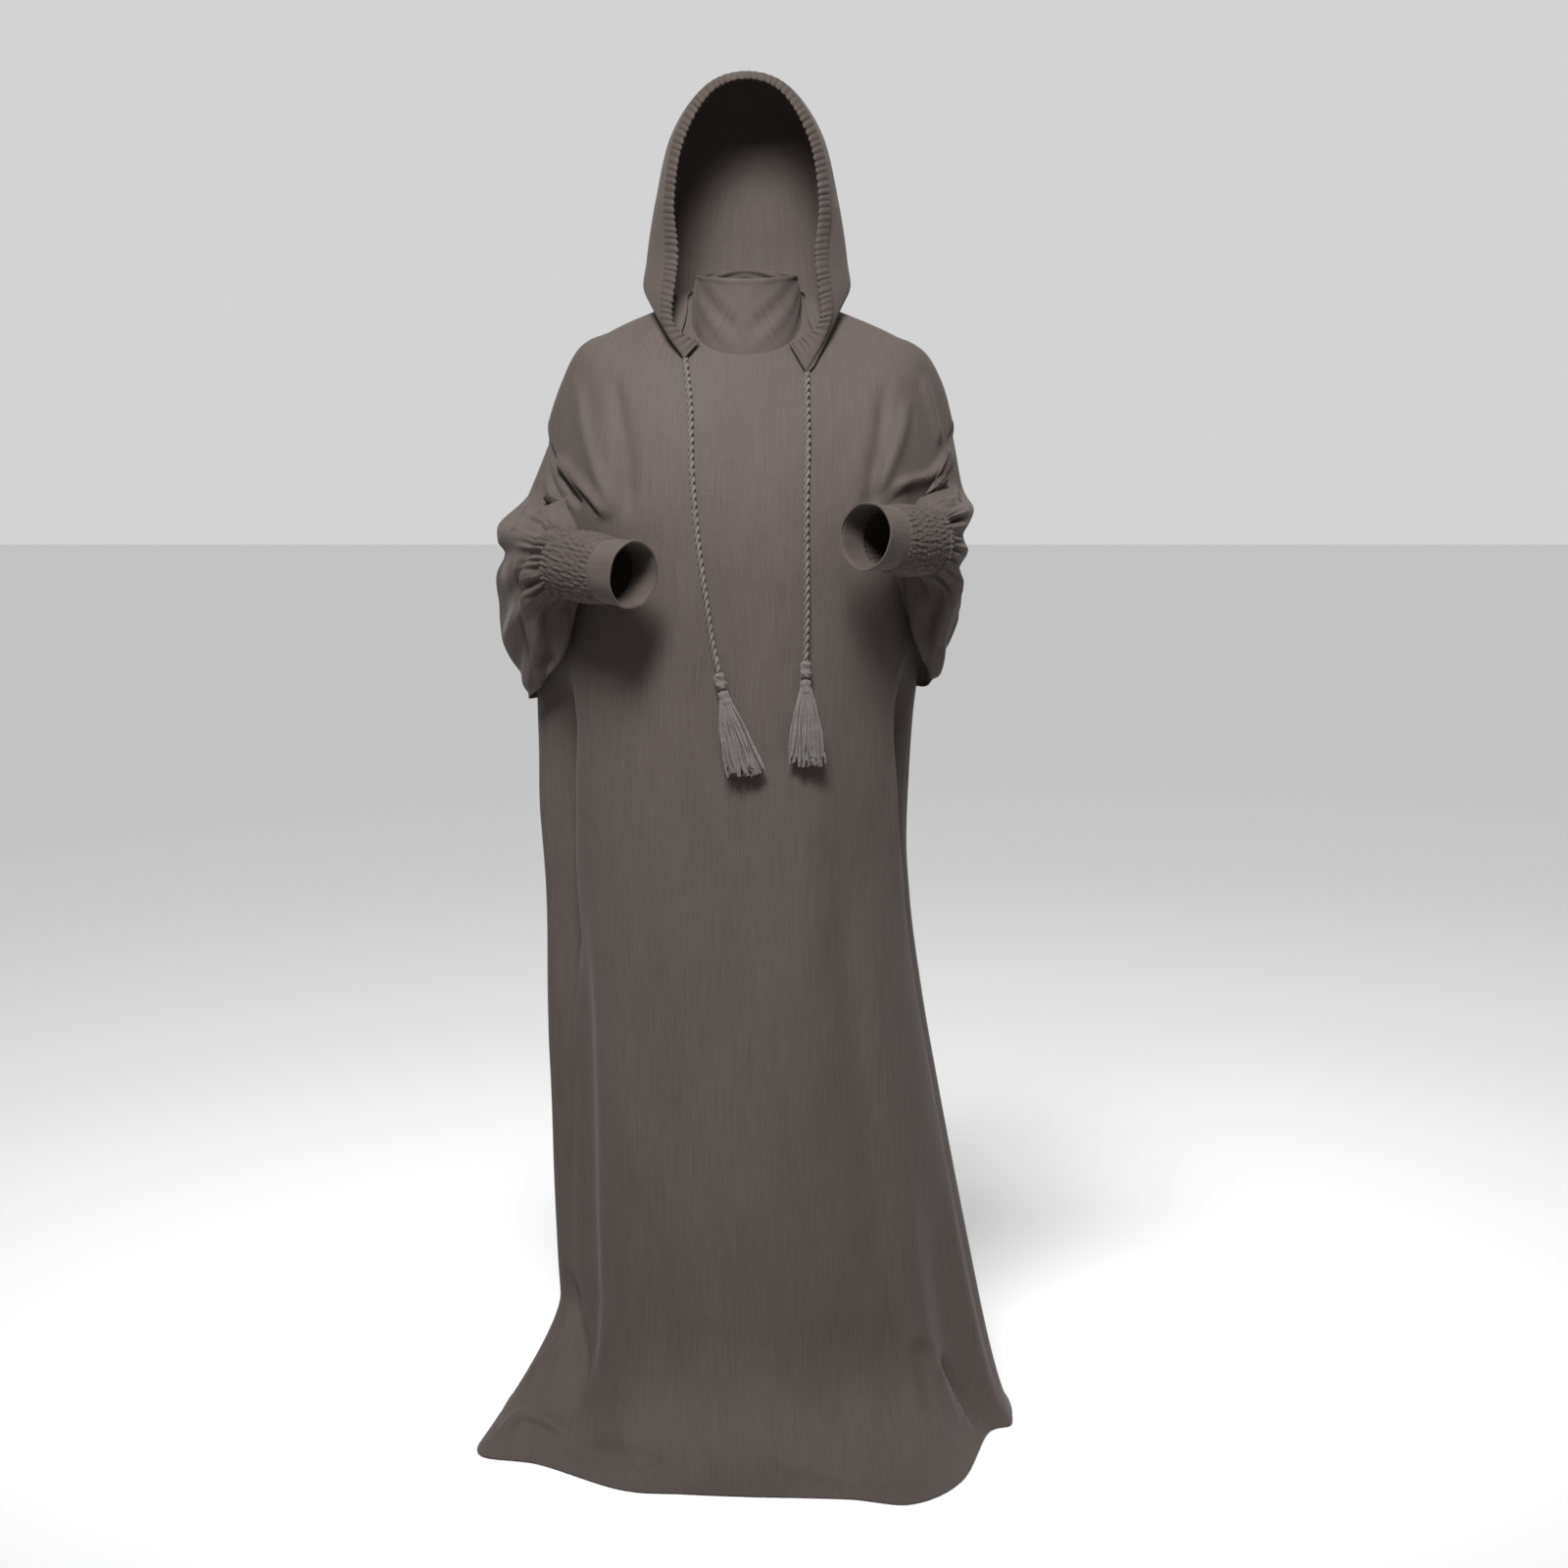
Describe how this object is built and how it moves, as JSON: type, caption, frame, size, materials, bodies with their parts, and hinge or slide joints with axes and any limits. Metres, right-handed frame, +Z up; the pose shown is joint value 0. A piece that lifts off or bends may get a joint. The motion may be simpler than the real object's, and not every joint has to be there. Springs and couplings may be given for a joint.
{
  "type": "hooded prayer dress",
  "caption": "Long hooded prayer dress in plain cloth, filled out as worn, with wide sleeves, smocked cuffs, a funnel collar, a ruched drawstring hood and tasselled cords.",
  "frame": {"origin": "between the shoulders at the base of the neck, where the dress hangs from the shoulders", "axes": "+Z up, -Y towards the front of the dress, +X towards the dress's own left side"},
  "size_m": [0.6362, 0.6519, 1.6126],
  "materials": {
    "cloth": "matt, dark grey-brown crepe",
    "cord_yarn": "matt, twisted grey yarn"
  },
  "bodies": {
    "root": {"front_panel": "cloth", "back_panel": "cloth", "sleeve_right": "cloth", "cuff_smocked_right": "cloth", "cuff_band_right": "cloth", "collar_right": "cloth", "hood_right": "cloth", "sleeve_left": "cloth", "cuff_smocked_left": "cloth", "cuff_band_left": "cloth", "collar_left": "cloth", "hood_left": "cloth", "hood_casing": "cloth", "drawcord_right": "cord_yarn", "knot_right": "cord_yarn", "tassel_right": "cord_yarn", "drawcord_left": "cord_yarn", "knot_left": "cord_yarn", "tassel_left": "cord_yarn"}
  },
  "joints": []
}
